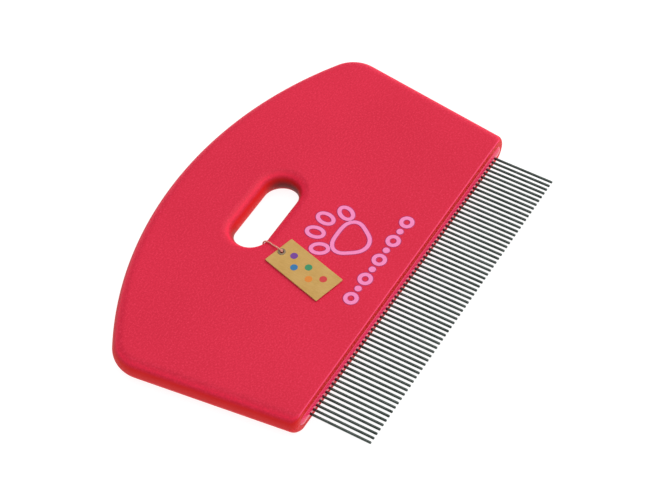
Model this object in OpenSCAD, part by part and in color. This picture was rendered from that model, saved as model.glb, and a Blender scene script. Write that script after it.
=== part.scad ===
// Flea comb: a flat fan-shaped handle of two shells round a moulded core that holds a row of steel pins,
// with a finger slot, a printed motif and a blank swing tag. It lies flat: +Z is up, the pins point to -Y.
// Every module draws from the handle's middle plane and its front edge; placed() moves it to the row frame.

/* [Handle] */
// Width across the handle's front edge
front_w = 90.8; // [84:0.1:96]
// Outward slope of each side, in degrees from straight back
side_flare = 7.4; // [5:0.1:9]
// Distance from the front edge to the top of the back arc
handle_depth = 59.5; // [57:0.1:62]
// Radius of the back arc
back_r = 86; // [80:0.5:95]
// Radius of the two back corners
corner_r = 8.2; // [7:0.1:9.5]
// Thickness of the handle
thickness = 6; // [5.6:0.1:7]
// How far the shells' front lips stand back from the front of the core's nose
lip_setback = 0.4; // [0.3:0.05:1]
// Chamfer along the lips' outer front edges
lip_chamfer = 0.3; // [0.2:0.05:0.7]
// Radius of the two front corners, seen from above
front_corner_r = 1.6; // [1.4:0.05:2]

/* [Finger slot] */
// Length of the slot at its waist
slot_len = 20.3; // [18:0.1:24]
// Width of the slot at its waist
slot_w = 8; // [7.5:0.1:9]
// Distance from the front edge to the slot's centre
slot_y = 36.1; // [35:0.1:37.5]

/* [Core] */
// Height of the core's rounded nose
nose_h = 4; // [3.6:0.1:4.2]
// Length of the nose along the front edge
nose_len = 88; // [85:0.5:88]
// Thickness of the core's plate behind the nose
core_t = 2.4; // [2.2:0.1:2.8]
// Margin from the handle's outline and from the slot to the core's edge
core_margin = 4; // [3.8:0.1:4.4]
// Radius of each locating post
post_r = 1.5; // [1.2:0.1:1.8]

/* [Pins] */
// Number of pins
pin_count = 65; // [41:2:67]
// Distance from one pin to the next
pin_pitch = 1.25; // [1.1:0.01:1.26]
// Diameter of each pin
pin_d = 0.6; // [0.5:0.05:0.75]
// Length of each pin in front of the nose
pin_out = 14.7; // [12:0.1:18]
// Length of each pin held inside the core
pin_in = 8; // [6:0.5:9]

/* [Swing tag] */
// Width of the card
tag_w = 8; // [6:0.5:9]
// Length of the card
tag_l = 16.2; // [14:0.2:18]
// Angle of the tag from straight forward, in degrees
tag_angle = -15; // [-20:1:-10]

/* [Hidden] */
$fn = 48;

red = [0.87, 0.2, 0.31];
pink = [0.94, 0.24, 0.4];
ink = [0.95, 0.55, 0.78];

// The row frame's origin lies under the middle of the comb, from pin tips to back arc.
mid_y = (handle_depth - pin_out) / 2;
edge_r = thickness / 2;
fit = 0.05;
far = 120;

// Outline: a side line, a corner circle tangent to it, and a back arc that the circle meets from inside.
// The shells' outline starts in front of the lips, which are cut to length afterwards.
side_normal = [cos(side_flare), -sin(side_flare)];
side_dir = [sin(side_flare), cos(side_flare)];
arc_centre = [0, handle_depth - back_r];
corner_line = [front_w / 2, 0] - corner_r * side_normal;
from_arc = corner_line - arc_centre;
along = from_arc * side_dir;
corner_centre = corner_line
    + side_dir * (sqrt(along * along - from_arc * from_arc + pow(back_r - corner_r, 2)) - along);
corner_ray = atan2(corner_centre[1] - arc_centre[1], corner_centre[0] - arc_centre[0]);
outline_start = -4;
corner_steps = 8;
back_steps = 20;
round_steps = 6;

// Places of the posts that hold the shells together through the core
posts = [[30, 17], [36, 36], [18, 47.5]];
post_top = edge_r - 1.1;
socket_top = edge_r - 1;

// Places of the paw and of the row of rings in the print, and the width of its lines
paw_at = [2, 14.9];
ring_pitch = 6;
ring_y = 6.8;
ink_stroke = 0.95;

// The tag's string hangs just inside the slot's front wall, near its left end, and bends over the rim.
string_r = 0.2;
string_gap = 0.3;
bend_r = edge_r + string_gap;
slot_end_x = (slot_len - slot_w) / 2;
hang_r = slot_w / 2 - string_gap;
pivot = [-slot_end_x + hang_r * sin(tag_angle), slot_y - hang_r * cos(tag_angle)];
anchor_z = -0.6;
eyelet_out = 6.4;
eyelet_r = 0.6;
card_start = 5.3;
card_t = 0.3;
card_z = edge_r + 0.15;
rivet_t = 0.12;
knot_r = 0.38;
knot_z = card_z + card_t + rivet_t + 0.22;
string_route = concat(
    [for (turn = [0 : 10 : 90]) bend_r * [1 - cos(turn), sin(turn)]],
    [[card_start - 0.2, knot_z - 0.04], [eyelet_out, knot_z]]);

module placed() {
    translate([0, -mid_y, edge_r]) children();
}

// Points along an arc, both ends included
function arc_points(centre, r, from, to, steps) =
    [for (i = [0 : steps])
        let (turn = from + (to - from) * i / steps) centre + r * [cos(turn), sin(turn)]];

// The point of the right-hand side line that lies at y
function side_point(inset, y) =
    let (start = [front_w / 2, 0] - inset * side_normal)
    start + side_dir * (y - start[1]) / side_dir[1];

// Right half of the outline, from the front end up to the back arc's last point before the middle.
// The corner's last point is also the back arc's first, so that one is left out.
function right_points(inset) =
    let (arc = arc_points(arc_centre, back_r - inset, corner_ray, 90, back_steps))
    concat([side_point(inset, outline_start)],
           arc_points(corner_centre, corner_r - inset, -side_flare, corner_ray, corner_steps),
           [for (i = [1 : back_steps - 1]) arc[i]]);

// The whole outline, anticlockwise from the right-hand front end
function outline(inset) =
    let (right = right_points(inset))
    concat(right, [[0, handle_depth - inset]],
           [for (i = [len(right) - 1 : -1 : 0]) [-right[i][0], right[i][1]]]);

// One quarter of a disc
module quarter_disc(r) {
    intersection() {
        circle(r);
        square(r);
    }
}

// One half of a disc, on the +X side
module half_disc(r) {
    intersection() {
        circle(r);
        translate([0, -r]) square([r, 2 * r]);
    }
}

// Upper half of the handle's plate, its edge rounded from the middle plane up to the top
module upper_plate() {
    n = len(outline(0));
    points = [for (k = [0 : round_steps])
        let (turn = 90 * k / round_steps)
        for (p = outline(edge_r * (1 - cos(turn)))) [p[0], p[1], edge_r * sin(turn)]];
    sides = [for (k = [0 : round_steps - 1]) for (i = [0 : n - 1])
        let (a = k * n + i, b = k * n + (i + 1) % n) each [[b, a, a + n], [b, a + n, b + n]]];
    bottom = [[for (i = [0 : n - 1]) i]];
    top = [[for (i = [n - 1 : -1 : 0]) round_steps * n + i]];
    polyhedron(points, concat(bottom, sides, top));
}

// Half of the slot's section, from its centreline outwards: its wall curves out with the round edge
module slot_section() {
    flare_r = edge_r + 0.05;
    reach = slot_w / 2 + flare_r;
    difference() {
        translate([0, -1]) square([reach, edge_r + 2]);
        translate([reach, 0]) circle(flare_r);
    }
}

// Upper half of the finger slot
module slot_half() {
    translate([0, slot_y, 0]) {
        for (side = [-1, 1])
            translate([side * slot_end_x, 0, 0]) rotate([0, 0, -90 * side])
                rotate_extrude(angle = 180) slot_section();
        for (side = [0, 1])
            mirror([0, side, 0]) translate([-slot_end_x, 0, 0]) rotate([90, 0, 90])
                linear_extrude(2 * slot_end_x) slot_section();
    }
}

// Slot with straight walls, for the core
module straight_slot(r) {
    translate([0, slot_y, -far / 2]) {
        for (side = [-1, 1]) translate([side * slot_end_x, 0, 0]) cylinder(h = far, r = r);
        translate([-slot_end_x, -r, 0]) cube([2 * slot_end_x, 2 * r, far]);
    }
}

// Everything in front of the lips, with the chamfered edge above
module front_cut() {
    slope = lip_chamfer + 1;
    translate([-far / 2, 0, 0]) rotate([90, 0, 90]) linear_extrude(far)
        polygon([[-40, -1], [lip_setback, -1], [lip_setback, edge_r - lip_chamfer],
                 [lip_setback + slope, edge_r + 1], [-40, edge_r + 1]]);
}

// The two front corners, outside their radius
module corner_cuts() {
    centre = side_point(front_corner_r, lip_setback + front_corner_r);
    top = -front_corner_r * sin(side_flare) - 0.1;
    for (side = [0, 1])
        mirror([side, 0, 0]) translate([centre[0], centre[1], -1]) difference() {
            translate([0, top - 6, 0]) cube([10, 6, thickness]);
            translate([0, 0, -1]) cylinder(h = thickness + 2, r = front_corner_r);
        }
}

// Round-ended bar along the front edge: the core's nose, or the pocket round it
module nose(grow) {
    nose_r = nose_h / 2;
    half = nose_len / 2 - nose_r;
    r = nose_r + grow;
    back = 5 + grow;
    intersection() {
        translate([0, nose_r, 0]) rotate([0, 90, 0]) rotate_extrude() {
            translate([0, -half]) square([r, 2 * half]);
            translate([0, half]) quarter_disc(r);
            translate([0, -half]) mirror([0, 1]) quarter_disc(r);
        }
        translate([-far / 2, nose_r - far, -far / 2]) cube(far);
    }
    translate([0, back, 0]) rotate([90, 0, 0]) linear_extrude(back - nose_r) {
        translate([-half, -r]) square([2 * half, 2 * r]);
        translate([half, 0]) half_disc(r);
        mirror([1, 0]) translate([half, 0]) half_disc(r);
    }
}

// The core's outside, or the pocket that takes it
module core_shape(grow) {
    half_t = core_t / 2 + grow;
    nose(grow);
    difference() {
        translate([0, 0, -half_t]) linear_extrude(2 * half_t) polygon(outline(core_margin - grow));
        straight_slot(slot_w / 2 + core_margin - grow);
        translate([-far / 2, 4 - far, -far / 2]) cube(far);
    }
}

module at_posts() {
    for (p = posts, side = [-1, 1]) translate([side * p[0], p[1], 0]) children();
}

// Each pin's own axis: +Z runs into the core from the front of its nose
module at_pins() {
    for (i = [0 : pin_count - 1])
        translate([(i - (pin_count - 1) / 2) * pin_pitch, 0, 0]) rotate([-90, 0, 0]) children();
}

// The shell above the middle plane. The lower one is its mirror image.
module upper_shell() {
    difference() {
        upper_plate();
        slot_half();
        front_cut();
        corner_cuts();
        core_shape(fit);
    }
}

module grip_top() {
    color(red) placed() difference() {
        upper_shell();
        at_posts() cylinder(h = socket_top, r = post_r + fit);
    }
}

module grip_bottom() {
    floor_z = -core_t / 2 - fit;
    color(red) placed() {
        difference() {
            mirror([0, 0, 1]) upper_shell();
            tag_frame() translate([0, 0, anchor_z]) rotate([90, 0, 0]) cylinder(h = 2.6, r = string_r + 0.02);
        }
        at_posts() translate([0, 0, floor_z - 0.5]) cylinder(h = post_top - floor_z + 0.5, r = post_r);
    }
}

module core() {
    color(pink) placed() difference() {
        core_shape(0);
        at_posts() translate([0, 0, -edge_r]) cylinder(h = thickness, r = post_r + 2 * fit);
        at_pins() translate([0, 0, -1]) cylinder(h = pin_in + 1.1, r = pin_d / 2 + 0.01);
    }
}

module pins() {
    tip = 0.2;
    r = pin_d / 2;
    color("silver") placed() at_pins() rotate_extrude($fn = 24)
        polygon([[0, -pin_out], [r - tip, -pin_out], [r, tip - pin_out], [r, pin_in], [0, pin_in]]);
}

// A flat ring of ink
module ink_ring(r, ink_t) {
    difference() {
        cylinder(h = ink_t, r = r);
        translate([0, 0, -1]) cylinder(h = 3, r = r - ink_stroke);
    }
}

// A plain paw in outline, with a row of rings and dots in front of it
module printed_motif() {
    ink_t = 0.04;
    color(ink) placed() translate([0, 0, edge_r]) {
        translate(paw_at) ink_ring(4.4, ink_t);
        for (side = [-1, 1]) {
            translate(paw_at + [5.7 * side, 4.9]) ink_ring(2, ink_t);
            translate(paw_at + [2.2 * side, 8.1]) ink_ring(2, ink_t);
        }
        for (place = [-2 : 2]) translate([ring_pitch * place, ring_y]) ink_ring(1.7, ink_t);
        for (place = [-1.5 : 1.5]) translate([ring_pitch * place, ring_y]) cylinder(h = ink_t, r = 0.8);
    }
}

// The tag's own frame: origin on the string's upright end, -Y along the tag
module tag_frame() {
    translate(pivot) rotate([0, 0, tag_angle]) children();
}

// A knotted end of nylon held in the lower shell's edge of the slot
module tag_anchor() {
    color("salmon") placed() tag_frame() translate([0, 0, anchor_z]) {
        sphere(0.4);
        rotate([90, 0, 0]) cylinder(h = 2.5, r = string_r);
    }
}

// The string runs up the slot's wall, over its rim and on to a knot in the eyelet.
module tag_string() {
    sides = 8;
    last = len(string_route) - 1;
    points = [for (i = [0 : last])
        let (step = string_route[min(i + 1, last)] - string_route[max(i - 1, 0)], dir = step / norm(step))
        for (k = [0 : sides - 1])
        let (across = string_r * cos(360 * k / sides), off = string_r * sin(360 * k / sides))
        [across, -string_route[i][0] + off * dir[1], string_route[i][1] + off * dir[0]]];
    walls = [for (i = [0 : last - 1]) for (k = [0 : sides - 1])
        let (a = i * sides + k, b = i * sides + (k + 1) % sides) each [[a, a + sides, b], [b, a + sides, b + sides]]];
    ends = [[for (k = [0 : sides - 1]) k], [for (k = [sides - 1 : -1 : 0]) last * sides + k]];
    color("salmon") placed() tag_frame() {
        polyhedron(points, concat(ends, walls));
        translate([0, -eyelet_out, knot_z]) sphere(knot_r);
    }
}

module tag_eyelet() {
    color("tan") placed() tag_frame() translate([0, -eyelet_out, card_z]) difference() {
        union() {
            cylinder(h = card_t, r = eyelet_r);
            translate([0, 0, card_t]) cylinder(h = rivet_t, r = eyelet_r + 0.3);
        }
        translate([0, 0, -1]) cylinder(h = 3, r = eyelet_r - 0.25);
    }
}

module tag_card() {
    color("burlywood") placed() tag_frame() difference() {
        translate([-tag_w / 2, -card_start - tag_l, card_z]) cube([tag_w, tag_l, card_t]);
        translate([0, -eyelet_out, 0]) cylinder(h = far, r = eyelet_r);
    }
}

grip_top();
grip_bottom();
core();
pins();
printed_motif();
tag_anchor();
tag_string();
tag_eyelet();
tag_card();
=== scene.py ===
"""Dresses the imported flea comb: fine shells, moulded core, steel pins, printed motif and swing tag.

Lengths are in millimetres while a piece is being drawn, measured from the handle's middle plane and front
edge; Drafting.to_row() turns them into metres in the part's own frame as the mesh is made.
"""

from __future__ import annotations

import logging
import math
from collections.abc import Callable, Iterable, Sequence
from dataclasses import dataclass
from enum import Enum

import bmesh
import bpy
from mathutils import Matrix, Vector
from mathutils.geometry import delaunay_2d_cdt


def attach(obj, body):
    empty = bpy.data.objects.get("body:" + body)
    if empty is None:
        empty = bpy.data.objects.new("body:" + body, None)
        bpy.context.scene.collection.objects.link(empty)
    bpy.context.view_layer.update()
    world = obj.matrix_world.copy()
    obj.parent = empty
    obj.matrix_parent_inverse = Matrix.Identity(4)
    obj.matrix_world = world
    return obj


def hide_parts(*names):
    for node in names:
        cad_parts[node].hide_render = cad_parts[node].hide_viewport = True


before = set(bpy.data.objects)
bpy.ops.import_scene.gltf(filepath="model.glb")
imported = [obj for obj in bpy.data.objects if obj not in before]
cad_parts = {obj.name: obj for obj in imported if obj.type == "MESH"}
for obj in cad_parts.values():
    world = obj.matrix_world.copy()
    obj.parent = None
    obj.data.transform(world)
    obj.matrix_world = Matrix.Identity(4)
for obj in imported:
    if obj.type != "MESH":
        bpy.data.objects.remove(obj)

LOG = logging.getLogger("flea_comb")
MM = 0.001
FULL_TURN = 2 * math.pi
QUARTER_TURN = math.pi / 2

Point2 = tuple[float, float]
Point3 = tuple[float, float, float]
Colour = tuple[float, float, float]
Span = tuple[float, float]
Socket = bpy.types.NodeSocket

RISING: Span = (0.0, 1.0)
FALLING: Span = (1.0, 0.0)
MID_NOISE: Span = (0.3, 0.7)
MERGE = 1e-7


class Half(Enum):
    """Which side of the handle's middle plane a shell lies on."""

    UPPER = 1
    LOWER = -1


class Body(Enum):
    """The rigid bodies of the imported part."""

    COMB = "comb"
    TAG = "tag"


class Shading(Enum):
    """How a mesh's faces meet: everywhere round, or creased where they turn sharply."""

    ROUND = 180.0
    CREASED = 35.0


# --- Drafting: points, closed meshes and objects ---


@dataclass(frozen=True)
class Drafting:
    """Turns drawing coordinates into the part's frame.

    The drawing is in millimetres, with y from the front edge and z from the middle plane.
    """

    mid_y: float = 22.4
    mid_z: float = 3.0

    def to_row(self, point: Sequence[float]) -> Vector:
        """Returns a drawn point in metres in the part's frame."""
        return Vector((point[0], point[1] - self.mid_y, point[2] + self.mid_z)) * MM


class ClosedMesh:
    """Vertices and faces of one closed piece, gathered before it becomes an object."""

    def __init__(self) -> None:
        """Starts with no vertices and no faces."""
        self.points: list[Point3] = []
        self.faces: list[tuple[int, ...]] = []

    def add_loop(self, points: Iterable[Sequence[float]]) -> list[int]:
        """Adds points and returns their indices in order."""
        start = len(self.points)
        self.points.extend((p[0], p[1], p[2]) for p in points)
        return list(range(start, len(self.points)))

    def bridge(self, lower: Sequence[int], upper: Sequence[int]) -> None:
        """Joins two closed loops of equal length with quads.

        Args:
            lower: Indices of the first loop, anticlockwise seen from outside its end.
            upper: Indices of the second loop, matched one to one.
        """
        count = len(lower)
        for i in range(count):
            j = (i + 1) % count
            self.faces.append((lower[i], lower[j], upper[j], upper[i]))

    def cap(self, loop: Sequence[int], flip: bool = False) -> None:
        """Closes a flat loop with one face."""
        self.faces.append(tuple(reversed(loop)) if flip else tuple(loop))

    def skin(self, loops: Sequence[Sequence[int]], around: bool = False) -> None:
        """Bridges each loop to the next, and with around the last one to the first."""
        following = [*loops[1:], loops[0]] if around else loops[1:]
        for lower, upper in zip(loops, following):
            self.bridge(lower, upper)

    def skin_and_cap(self, loops: Sequence[Sequence[int]]) -> None:
        """Bridges each loop to the next and closes both ends."""
        self.skin(loops)
        self.cap(loops[0], flip=True)
        self.cap(loops[-1])

    def fill_between(self, outer: Sequence[int], inner: Sequence[int], up: bool) -> None:
        """Fills the flat region between an outer loop and a hole.

        Args:
            outer: Indices of the outer loop.
            inner: Indices of the hole's loop.
            up: Whether the filled faces point towards +Z.
        """
        loops = list(outer) + list(inner)
        flat = [Vector(self.points[i][:2]) for i in loops]
        edges = [(i, (i + 1) % len(outer)) for i in range(len(outer))]
        start = len(outer)
        edges += [(start + i, start + (i + 1) % len(inner)) for i in range(len(inner))]
        _, _, triangles, _, _, _ = delaunay_2d_cdt(flat, edges, [], 1, MERGE)
        for triangle in triangles:
            if self._in_hole(triangle, start):
                continue
            a, b, c = (flat[i] for i in triangle)
            turned_up = (b - a).cross(c - a) > 0
            face = tuple(loops[i] for i in triangle)
            self.faces.append(face if turned_up == up else tuple(reversed(face)))

    @staticmethod
    def _in_hole(triangle: Sequence[int], start: int) -> bool:
        """Returns whether every corner of a triangle lies on the hole's loop."""
        return all(i >= start for i in triangle)

    def mirrored(self) -> ClosedMesh:
        """Returns the same piece turned over about the middle plane, facing outwards again."""
        other = ClosedMesh()
        other.points = [(x, y, -z) for x, y, z in self.points]
        other.faces = [tuple(reversed(face)) for face in self.faces]
        return other

    def join(self, other: ClosedMesh) -> None:
        """Adds another closed mesh to this one, as a separate shell."""
        start = len(self.points)
        self.points.extend(other.points)
        self.faces.extend(tuple(i + start for i in face) for face in other.faces)

    def to_object(self, name: str, drafting: Drafting, shading: Shading) -> bpy.types.Object:
        """Makes the object.

        Args:
            name: The object's name.
            drafting: Where drawn points lie in the part's frame.
            shading: How the faces meet.

        Returns:
            The new object, linked into the scene.
        """
        mesh = bpy.data.meshes.new(name)
        mesh.from_pydata([drafting.to_row(p) for p in self.points], [], self.faces)
        mesh.validate()
        piece = bpy.data.objects.new(name, mesh)
        bpy.context.scene.collection.objects.link(piece)
        smooth_faces(piece, shading)
        return piece


def smooth_faces(piece: bpy.types.Object, shading: Shading) -> None:
    """Shades a mesh smooth, and keeps its sharp turns crisp.

    Args:
        piece: The object to shade.
        shading: Whether turns past the crease angle stay sharp.
    """
    work = bmesh.new()
    work.from_mesh(piece.data)
    bmesh.ops.recalc_face_normals(work, faces=work.faces)
    for face in work.faces:
        face.smooth = True
    for edge in work.edges:
        edge.smooth = edge.calc_face_angle(0.0) < math.radians(shading.value)
    work.to_mesh(piece.data)
    work.free()
    piece.data.update()


def cut_away(piece: bpy.types.Object, cutters: Sequence[bpy.types.Object]) -> None:
    """Cuts closed shapes out of a piece for good, and discards them.

    Args:
        piece: The object to cut.
        cutters: Closed objects that are taken away from it.
    """
    for cutter in cutters:
        step = piece.modifiers.new(cutter.name, "BOOLEAN")
        step.operation = "DIFFERENCE"
        step.solver = "EXACT"
        step.object = cutter
    graph = bpy.context.evaluated_depsgraph_get()
    result = bpy.data.meshes.new_from_object(piece.evaluated_get(graph))
    piece.modifiers.clear()
    piece.data = result
    for cutter in cutters:
        bpy.data.objects.remove(cutter)


def arc(centre: Point2, radius: float, start: float, end: float, steps: int) -> list[Point2]:
    """Returns points along an arc, both ends included, with angles in radians."""
    return [
        (centre[0] + radius * math.cos(turn), centre[1] + radius * math.sin(turn))
        for turn in (start + (end - start) * i / steps for i in range(steps + 1))
    ]


def circle(centre: Point2, radius: float, steps: int) -> list[Point2]:
    """Returns points once round a circle."""
    return arc(centre, radius, 0, FULL_TURN, steps)[:-1]


def ease(share: float) -> float:
    """Returns a share from 0 to 1, eased at both ends."""
    share = min(1.0, max(0.0, share))
    return share * share * (3 - 2 * share)


# --- Finishes ---


@dataclass(frozen=True)
class Grain:
    """One scale of cloudy noise, with any stretch along the axes and turn about Z."""

    per_m: float
    detail: float = 3.0
    rough: float = 0.5
    stretch: Point3 | None = None
    turn: float = 0.0


class NodeBench:
    """Builds one procedural material's nodes, one small step at a time."""

    def __init__(self, name: str) -> None:
        """Starts a material with a surface shader and the piece's own coordinates."""
        self.material = bpy.data.materials.new(name)
        self.material.use_nodes = True
        self.tree = self.material.node_tree
        self.shader = self.tree.nodes["Principled BSDF"]
        self.place = self.tree.nodes.new("ShaderNodeTexCoord").outputs["Object"]

    def node(self, kind: str, **settings: object) -> bpy.types.Node:
        """Adds a node and sets its properties."""
        made = self.tree.nodes.new(kind)
        for key, value in settings.items():
            setattr(made, key, value)
        return made

    def link(self, source: Socket, target: Socket) -> None:
        """Connects two sockets."""
        self.tree.links.new(source, target)

    def calc(self, operation: str, *terms: Socket | float) -> Socket:
        """Returns the result of one arithmetic step."""
        step = self.node("ShaderNodeMath", operation=operation)
        for term, entry in zip(terms, step.inputs):
            if isinstance(term, float):
                entry.default_value = term
            else:
                self.link(term, entry)
        return step.outputs["Value"]

    def product(self, *shares: Socket) -> Socket:
        """Returns several shares multiplied together."""
        result = shares[0]
        for share in shares[1:]:
            result = self.calc("MULTIPLY", result, share)
        return result

    def noise(self, grain: Grain) -> Socket:
        """Returns cloudy noise from 0 to 1."""
        cloud = self.node("ShaderNodeTexNoise")
        cloud.inputs["Scale"].default_value = grain.per_m
        cloud.inputs["Detail"].default_value = grain.detail
        cloud.inputs["Roughness"].default_value = grain.rough
        place = self.place
        if grain.stretch is not None:
            mapping = self.node("ShaderNodeMapping")
            mapping.inputs["Scale"].default_value = grain.stretch
            mapping.inputs["Rotation"].default_value = (0, 0, grain.turn)
            self.link(self.place, mapping.inputs["Vector"])
            place = mapping.outputs["Vector"]
        self.link(place, cloud.inputs["Vector"])
        return cloud.outputs["Fac"]

    def spread(self, source: Socket, to: Span = RISING, over: Span = MID_NOISE) -> Socket:
        """Returns a value mapped from one range to another and held inside it.

        Args:
            source: The value to map.
            to: Results at the range's two ends.
            over: Source values at the range's two ends.
        """
        mapped = self.node("ShaderNodeMapRange")
        mapped.inputs["From Min"].default_value, mapped.inputs["From Max"].default_value = over
        mapped.inputs["To Min"].default_value, mapped.inputs["To Max"].default_value = to
        self.link(source, mapped.inputs["Value"])
        return mapped.outputs["Result"]

    def blend(self, share: Socket, first: Colour | Socket, second: Colour) -> Socket:
        """Returns a colour between two others.

        Args:
            share: 0 for the first colour, 1 for the second.
            first: A colour, or another node's colour.
            second: The colour at a full share.
        """
        mix = self.node("ShaderNodeMix", data_type="RGBA")
        self.link(share, mix.inputs["Factor"])
        if isinstance(first, tuple):
            mix.inputs["A"].default_value = (*first, 1)
        else:
            self.link(first, mix.inputs["A"])
        mix.inputs["B"].default_value = (*second, 1)
        return mix.outputs["Result"]

    def bump(self, height: Socket, depth: float, strength: float) -> None:
        """Raises the surface by a height map.

        Args:
            height: The height map, from 0 to 1.
            depth: Its full height, in metres.
            strength: How strongly it turns the surface.
        """
        raised = self.node("ShaderNodeBump")
        raised.inputs["Strength"].default_value = strength
        raised.inputs["Distance"].default_value = depth
        self.link(height, raised.inputs["Height"])
        self.link(raised.outputs["Normal"], self.shader.inputs["Normal"])

    def colour(self, source: Socket) -> None:
        """Sets the surface colour."""
        self.link(source, self.shader.inputs["Base Color"])

    def roughness(self, source: Socket) -> None:
        """Sets the roughness."""
        self.link(source, self.shader.inputs["Roughness"])

    def fixed(self, **sockets: float) -> None:
        """Sets values that are the same all over the surface, by the socket's name with _ for spaces."""
        for name, value in sockets.items():
            self.shader.inputs[name.replace("_", " ")].default_value = value

    def along(self, axis: str) -> Socket:
        """Returns the place along one axis of the piece, in metres."""
        parts = self.node("ShaderNodeSeparateXYZ")
        self.link(self.place, parts.inputs["Vector"])
        return parts.outputs[axis]

    def upward(self) -> Socket:
        """Returns how far the surface faces up or down: 1 on a flat face, 0 on an upright wall."""
        parts = self.node("ShaderNodeSeparateXYZ")
        self.link(self.node("ShaderNodeNewGeometry").outputs["Normal"], parts.inputs["Vector"])
        return self.calc("ABSOLUTE", parts.outputs["Z"])

    def shoulder(self, tilt: float, width: float) -> Socket:
        """Returns 1 where an edge's shoulder turns over, falling to 0 on either side of it.

        Args:
            tilt: The upward facing at the middle of the shoulder.
            width: How far from it the share falls to nothing.
        """
        off = self.calc("ABSOLUTE", self.calc("SUBTRACT", self.upward(), tilt))
        return self.spread(off, FALLING, (0.0, width))


@dataclass(frozen=True)
class SlotEndShade:
    """Where painted shadow darkens the walls at the two ends of the finger slot. Places are in metres."""

    share: float = 0.85
    end_x: Span = (0.0055, 0.0095)
    past_x: Span = (0.0135, 0.0140)
    low_y: Span = (0.006, 0.0065)
    high_y: Span = (0.021, 0.0215)
    tilts: Span = (0.15, 0.75)

    def mask(self, bench: NodeBench) -> Socket:
        """Returns the share of painted shadow at each place."""
        from_middle = bench.calc("ABSOLUTE", bench.along("X"))
        return bench.product(
            bench.spread(from_middle, (0.0, self.share), self.end_x),
            bench.spread(from_middle, FALLING, self.past_x),
            bench.spread(bench.along("Y"), RISING, self.low_y),
            bench.spread(bench.along("Y"), FALLING, self.high_y),
            bench.spread(bench.upward(), FALLING, self.tilts),
        )


@dataclass(frozen=True)
class SoftTouchPlastic:
    """Matt rubbery moulding with a fine grain, painted shade on its upright walls and slot ends, and painted
    highlights on its rims and front lip.
    """

    name: str
    body: Colour
    shade: Colour
    rubbed: Colour
    # Painted shade for upright walls.
    painted_wall_shade: Colour
    # Painted highlight for the shoulders of the edges.
    rim: Colour
    # Painted highlight for the front lip.
    painted_lip_highlight: Colour
    # Painted shadow for the slot's two end walls.
    painted_slot_shadow: Colour
    slot_end_shade: SlotEndShade = SlotEndShade()
    clouds: Grain = Grain(45.0, 4.0)
    grain: Grain = Grain(2500.0, 4.0, 0.75)
    cloud_share: float = 0.55
    pale_grain: Span = (0.5, 0.68)
    deep_grain: Span = (0.32, 0.5)
    shoulder_tilt: float = 0.8
    rim_width: float = 0.15
    rim_shares: Span = (0.45, 0.95)
    rim_grain: Span = (0.35, 0.65)
    wall_shade_tilts: Span = (0.5, 0.72)
    lip_y: Span = (-0.02175, -0.0216)
    lip_width: float = 0.35
    lip_share: float = 0.9
    lip_full: float = 0.7
    polish: Span = (0.5, 0.66)
    relief: Span = (0.00005, 0.3)
    sheen: float = 0.02
    specular: float = 0.3

    def make(self) -> bpy.types.Material:
        """Returns the material."""
        bench = NodeBench(self.name)
        clouds = bench.spread(bench.noise(self.clouds), (0.0, self.cloud_share))
        grain = bench.noise(self.grain)
        tinted = bench.blend(clouds, self.body, self.shade)
        deepened = bench.blend(bench.spread(grain, FALLING, self.deep_grain), tinted, self.shade)
        speckled = bench.blend(bench.spread(grain, RISING, self.pale_grain), deepened, self.rubbed)
        # Painted highlight: a broken paler line along the shoulders of the edges.
        on_rim = bench.shoulder(self.shoulder_tilt, self.rim_width)
        rim_highlight = bench.product(on_rim, bench.spread(grain, self.rim_shares, self.rim_grain))
        rim_highlighted = bench.blend(rim_highlight, speckled, self.rim)
        # Painted shade: upright walls turn a deeper, unreflecting red.
        wall_shaded = bench.blend(bench.spread(bench.upward(), FALLING, self.wall_shade_tilts), rim_highlighted, self.painted_wall_shade)
        # Painted shadow: the slot's two end walls turn near-black.
        slot_shaded = bench.blend(self.slot_end_shade.mask(bench), wall_shaded, self.painted_slot_shadow)
        # Painted highlight: a bright line along the front lip's rounded edge.
        on_lip = bench.shoulder(self.shoulder_tilt, self.lip_width)
        lip = bench.product(bench.spread(bench.along("Y"), FALLING, self.lip_y), on_lip)
        lip_highlight_share = bench.spread(lip, (0.0, self.lip_share), (0.0, self.lip_full))
        bench.colour(bench.blend(lip_highlight_share, slot_shaded, self.painted_lip_highlight))
        bench.roughness(bench.spread(grain, self.polish))
        bench.bump(grain, *self.relief)
        bench.fixed(Specular_IOR_Level=self.specular, Sheen_Weight=self.sheen, Sheen_Roughness=0.4)
        return bench.material


@dataclass(frozen=True)
class GlossPlastic:
    """Hard glossy moulding with faint flow lines along its length."""

    name: str
    body: Colour
    shade: Colour
    flow: Grain = Grain(260.0, 3.0, 0.6, (0.12, 1.0, 1.0))
    haze: Grain = Grain(2600.0, 2.0, 0.6)
    polish: Span = (0.2, 0.32)
    relief: Span = (0.00004, 0.12)

    def make(self) -> bpy.types.Material:
        """Returns the material."""
        bench = NodeBench(self.name)
        flow = bench.noise(self.flow)
        bench.colour(bench.blend(bench.spread(flow), self.body, self.shade))
        bench.roughness(bench.spread(bench.noise(self.haze), self.polish))
        bench.bump(flow, *self.relief)
        bench.fixed(Specular_IOR_Level=0.5, Coat_Weight=0.3, Coat_Roughness=0.12)
        return bench.material


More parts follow.
